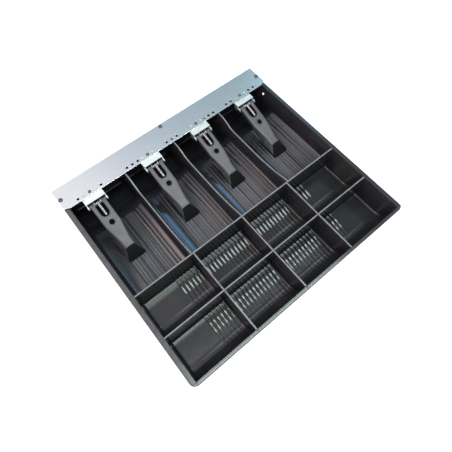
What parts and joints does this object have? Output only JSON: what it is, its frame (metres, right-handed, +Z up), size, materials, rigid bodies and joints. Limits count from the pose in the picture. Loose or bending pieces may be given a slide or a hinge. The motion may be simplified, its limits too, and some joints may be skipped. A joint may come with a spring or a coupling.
{
  "type": "cash drawer till tray",
  "caption": "Moulded till insert for a cash drawer: note bays with sprung lift-up clips under a plated steel bar, and scooped coin cups in front.",
  "frame": {"origin": "centre of the tray's footprint, on the surface it stands on", "axes": "+X along the clip bar, to the right for a user facing the tray; +Y from the coin cups to the clip bar; +Z up"},
  "size_m": [0.365, 0.325, 0.065],
  "materials": {
    "tray_plastic": "semi-gloss moulded black ABS",
    "bar_zinc": "bright zinc plated sheet",
    "fastener_steel": "plated steel",
    "bracket_zinc": "pale zinc plated sheet",
    "spring_steel": "bright drawn wire",
    "arm_plastic": "satin moulded plastic with a fine texture",
    "foot_rubber": "matte black rubber"
  },
  "bodies": {
    "tray": {"till_tray": "tray_plastic", "clip_bar": "bar_zinc", "bar_screw_left": "fastener_steel", "bar_screw_right": "fastener_steel", "bar_screw_rear": "fastener_steel", "clip_bracket_1": "bracket_zinc", "clip_bracket_2": "bracket_zinc", "clip_bracket_3": "bracket_zinc", "clip_bracket_4": "bracket_zinc", "bracket_rivet_1": "fastener_steel", "bracket_rivet_2": "fastener_steel", "bracket_rivet_3": "fastener_steel", "bracket_rivet_4": "fastener_steel", "pivot_pin_1": "fastener_steel", "pivot_pin_2": "fastener_steel", "pivot_pin_3": "fastener_steel", "pivot_pin_4": "fastener_steel"},
    "clip_1": {"clip_arm_1": "arm_plastic", "rubber_foot_1": "foot_rubber", "torsion_spring_1": "spring_steel"},
    "clip_2": {"clip_arm_2": "arm_plastic", "rubber_foot_2": "foot_rubber", "torsion_spring_2": "spring_steel"},
    "clip_3": {"clip_arm_3": "arm_plastic", "rubber_foot_3": "foot_rubber", "torsion_spring_3": "spring_steel"},
    "clip_4": {"clip_arm_4": "arm_plastic", "rubber_foot_4": "foot_rubber", "torsion_spring_4": "spring_steel"}
  },
  "joints": [
    {"name": "clip_hinge_1", "type": "hinge", "parent": "tray", "child": "clip_1", "pos_m": [-0.1407, 0.112, 0.054], "axis": [-1, 0, 0], "range_deg": [0, 90], "stiffness_Nm_per_rad": 0.05, "springref_deg": -126.05, "deforming": ["torsion_spring_1"]},
    {"name": "clip_hinge_2", "type": "hinge", "parent": "tray", "child": "clip_2", "pos_m": [-0.0434, 0.112, 0.054], "axis": [-1, 0, 0], "range_deg": [0, 90], "stiffness_Nm_per_rad": 0.05, "springref_deg": -126.05, "deforming": ["torsion_spring_2"]},
    {"name": "clip_hinge_3", "type": "hinge", "parent": "tray", "child": "clip_3", "pos_m": [0.0452, 0.112, 0.054], "axis": [-1, 0, 0], "range_deg": [0, 90], "stiffness_Nm_per_rad": 0.05, "springref_deg": -126.05, "deforming": ["torsion_spring_3"]},
    {"name": "clip_hinge_4", "type": "hinge", "parent": "tray", "child": "clip_4", "pos_m": [0.1324, 0.112, 0.054], "axis": [-1, 0, 0], "range_deg": [0, 90], "stiffness_Nm_per_rad": 0.05, "springref_deg": -126.05, "deforming": ["torsion_spring_4"]}
  ]
}
